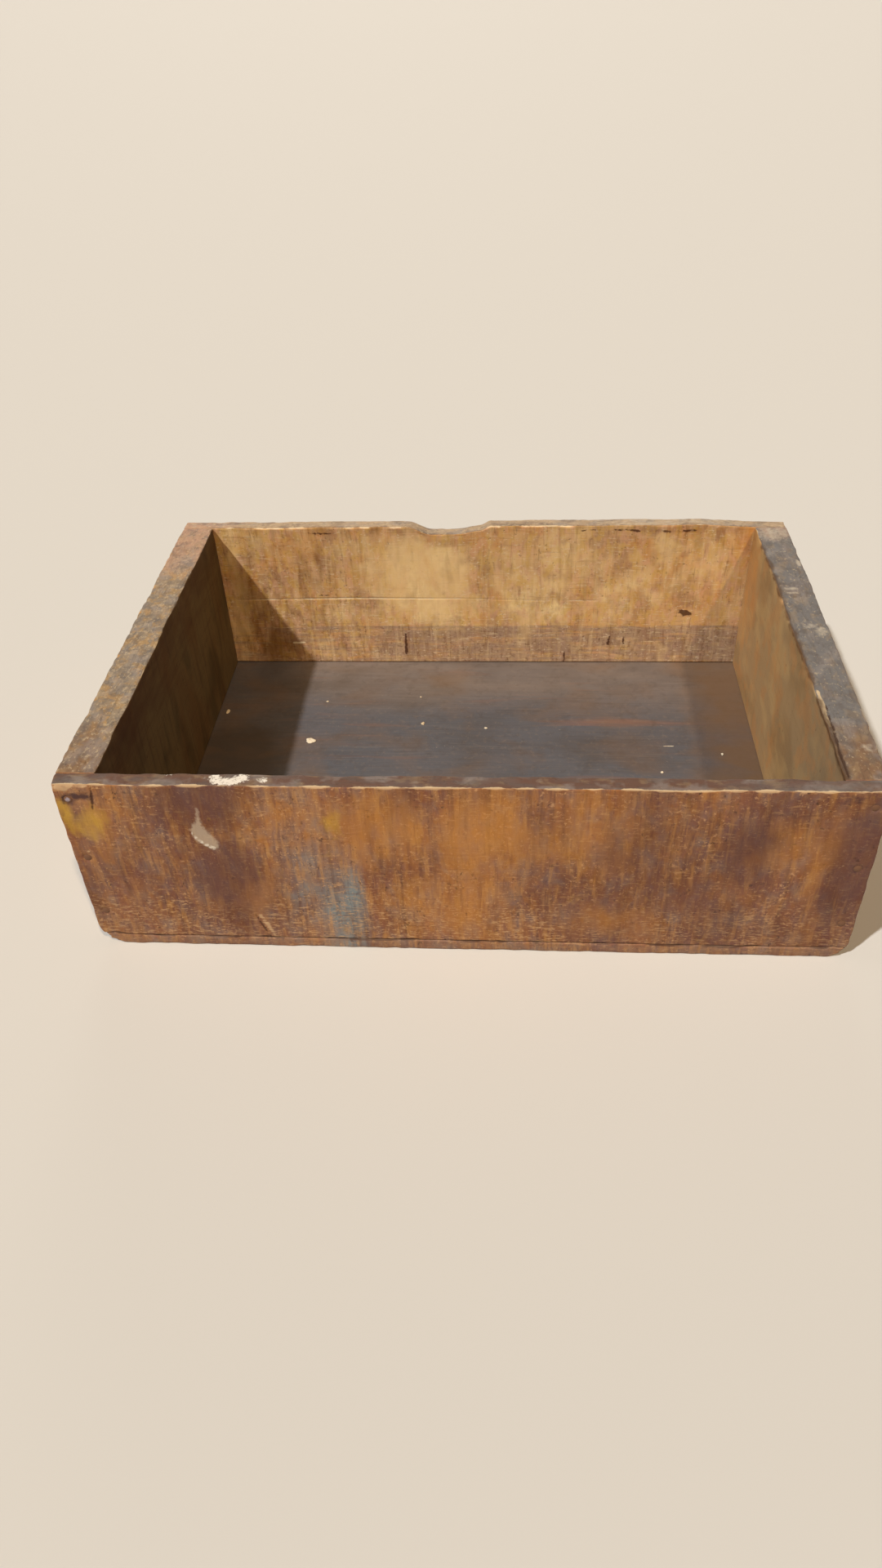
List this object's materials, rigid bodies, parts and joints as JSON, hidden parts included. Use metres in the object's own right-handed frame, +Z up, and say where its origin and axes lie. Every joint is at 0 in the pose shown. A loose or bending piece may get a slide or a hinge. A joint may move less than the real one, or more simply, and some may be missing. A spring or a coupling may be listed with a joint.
{
  "type": "open wooden organizer box",
  "caption": "Open-topped old wooden organizer box of nailed boards, with thick end boards, thin front, back and bottom boards, and a finger notch in the back rim.",
  "frame": {"origin": "middle of the underside, on the surface that the box stands on", "axes": "+Z up, +X to the right along the long front board, +Y from the front board to the notched back board"},
  "size_m": [0.35, 0.243, 0.1],
  "materials": {
    "stained_front_wood": "worn brown stain over saw marks, dull",
    "stained_back_wood": "worn golden brown stain over saw marks, dull",
    "stained_end_wood": "worn brown stain, greyed on the top edge, dull",
    "stained_bottom_wood": "dark grey-brown stain, rubbed smooth",
    "rusted_nail_steel": "rusted, with rubbed bright spots"
  },
  "bodies": {
    "root": {"front_board": "stained_front_wood", "back_board": "stained_back_wood", "left_end_board": "stained_end_wood", "right_end_board": "stained_end_wood", "bottom_board": "stained_bottom_wood", "front_left_nails": "rusted_nail_steel", "front_right_nails": "rusted_nail_steel", "back_left_nails": "rusted_nail_steel", "back_right_nails": "rusted_nail_steel", "bottom_front_nails": "rusted_nail_steel", "bottom_back_nails": "rusted_nail_steel", "bottom_left_nails": "rusted_nail_steel", "bottom_right_nails": "rusted_nail_steel"}
  },
  "joints": []
}
